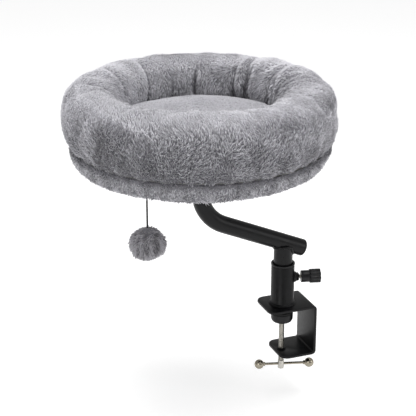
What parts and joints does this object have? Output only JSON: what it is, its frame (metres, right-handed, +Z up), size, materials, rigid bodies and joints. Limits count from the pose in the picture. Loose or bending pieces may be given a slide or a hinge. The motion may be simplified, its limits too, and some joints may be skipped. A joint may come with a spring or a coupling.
{
  "type": "cat desk bed",
  "caption": "Round plush pet bed on a cranked tube mast with a screw clamp for a desk edge, a locking thumb screw and a hanging fluffy ball.",
  "frame": {"origin": "where the post's axis meets the underside of the clamp's top jaw, the face that rests on the desk", "axes": "+Z up, along the post; +X from the post's axis to the clamp's web, so the desk comes in from -X and the bed stands over it at -X; +Y completes the right hand and points away from the thumb screw's side"},
  "size_m": [0.3722, 0.3702, 0.4642],
  "materials": {
    "powder_coat": "matte",
    "black_plastic": "satin",
    "zinc_steel": "satin",
    "nickel_plate": "polished",
    "black_rubber": "matte",
    "grey_plush": "matte",
    "pale_plush": "matte",
    "plywood": "matte",
    "white_foam": "matte",
    "black_cord": "matte"
  },
  "bodies": {
    "clamp": {"jaw_bracket": "powder_coat", "mast_sleeve": "powder_coat", "thumb_screw_nut": "powder_coat", "clamp_bush": "powder_coat"},
    "thumb_rod": {"thumb_screw_rod": "zinc_steel"},
    "thumb_knob": {"thumb_knob": "black_plastic"},
    "collar": {"sleeve_collar": "black_plastic"},
    "mast": {"mast_post": "powder_coat", "post_foot_plug": "black_plastic", "arm_tube": "powder_coat", "arm_end_plug": "black_plastic", "arm_flange": "powder_coat", "flange_screw_1": "zinc_steel", "flange_screw_2": "zinc_steel", "flange_screw_3": "zinc_steel", "flange_screw_4": "zinc_steel", "tee_nut_1": "zinc_steel", "tee_nut_2": "zinc_steel", "tee_nut_3": "zinc_steel", "tee_nut_4": "zinc_steel", "base_board": "plywood", "base_foam": "white_foam", "base_cover": "grey_plush", "bolster": "grey_plush", "seat_cushion": "pale_plush"},
    "pad": {"pad_cup": "black_plastic", "pad_rubber": "black_rubber"},
    "screw": {"clamp_screw": "zinc_steel"},
    "bar": {"tee_bar": "nickel_plate", "bar_ball_right": "nickel_plate", "bar_ball_left": "nickel_plate"},
    "toy_knot": {"toy_knot": "black_cord"},
    "toy": {"toy_cord": "black_cord", "pom_pom": "grey_plush"}
  },
  "joints": [
    {"name": "mast_swivel", "type": "hinge", "parent": "clamp", "child": "collar", "pos_m": [0, 0, 0], "axis": [0, 0, 1], "continuous": true},
    {"name": "mast_slide", "type": "slide", "parent": "collar", "child": "mast", "axis": [0, 0, 1], "range_m": [-0.008, 0.024]},
    {"name": "thumb_travel", "type": "slide", "parent": "clamp", "child": "thumb_rod", "axis": [0.9659, -0.2588, 0], "range_m": [0, 0.0081]},
    {"name": "thumb_turn", "type": "hinge", "parent": "thumb_rod", "child": "thumb_knob", "pos_m": [0, 0, 0.0452], "axis": [0.9659, -0.2588, 0], "range_deg": [0, 2880]},
    {"name": "pad_travel", "type": "slide", "parent": "clamp", "child": "pad", "axis": [0, 0, 1], "range_m": [-0.0436, 0.0076]},
    {"name": "screw_turn", "type": "hinge", "parent": "pad", "child": "screw", "pos_m": [0, 0, -0.05], "axis": [0, 0, 1], "range_deg": [-12528, 2160]},
    {"name": "bar_slide", "type": "slide", "parent": "screw", "child": "bar", "axis": [0.9588, -0.284, 0], "range_m": [-0.0288, 0.0188]},
    {"name": "toy_swing_side", "type": "hinge", "parent": "mast", "child": "toy_knot", "pos_m": [-0.2422, -0.0954, 0.2475], "axis": [1, 0, 0], "range_deg": [-35, 35]},
    {"name": "toy_swing_front", "type": "hinge", "parent": "toy_knot", "child": "toy", "pos_m": [-0.2422, -0.0954, 0.2475], "axis": [0, 1, 0], "range_deg": [-35, 35]}
  ],
  "couplings": [
    {"joint": "thumb_travel", "follows": "thumb_turn", "m_per_rad": 0.00015915},
    {"joint": "pad_travel", "follows": "screw_turn", "m_per_rad": 0.00019894}
  ]
}
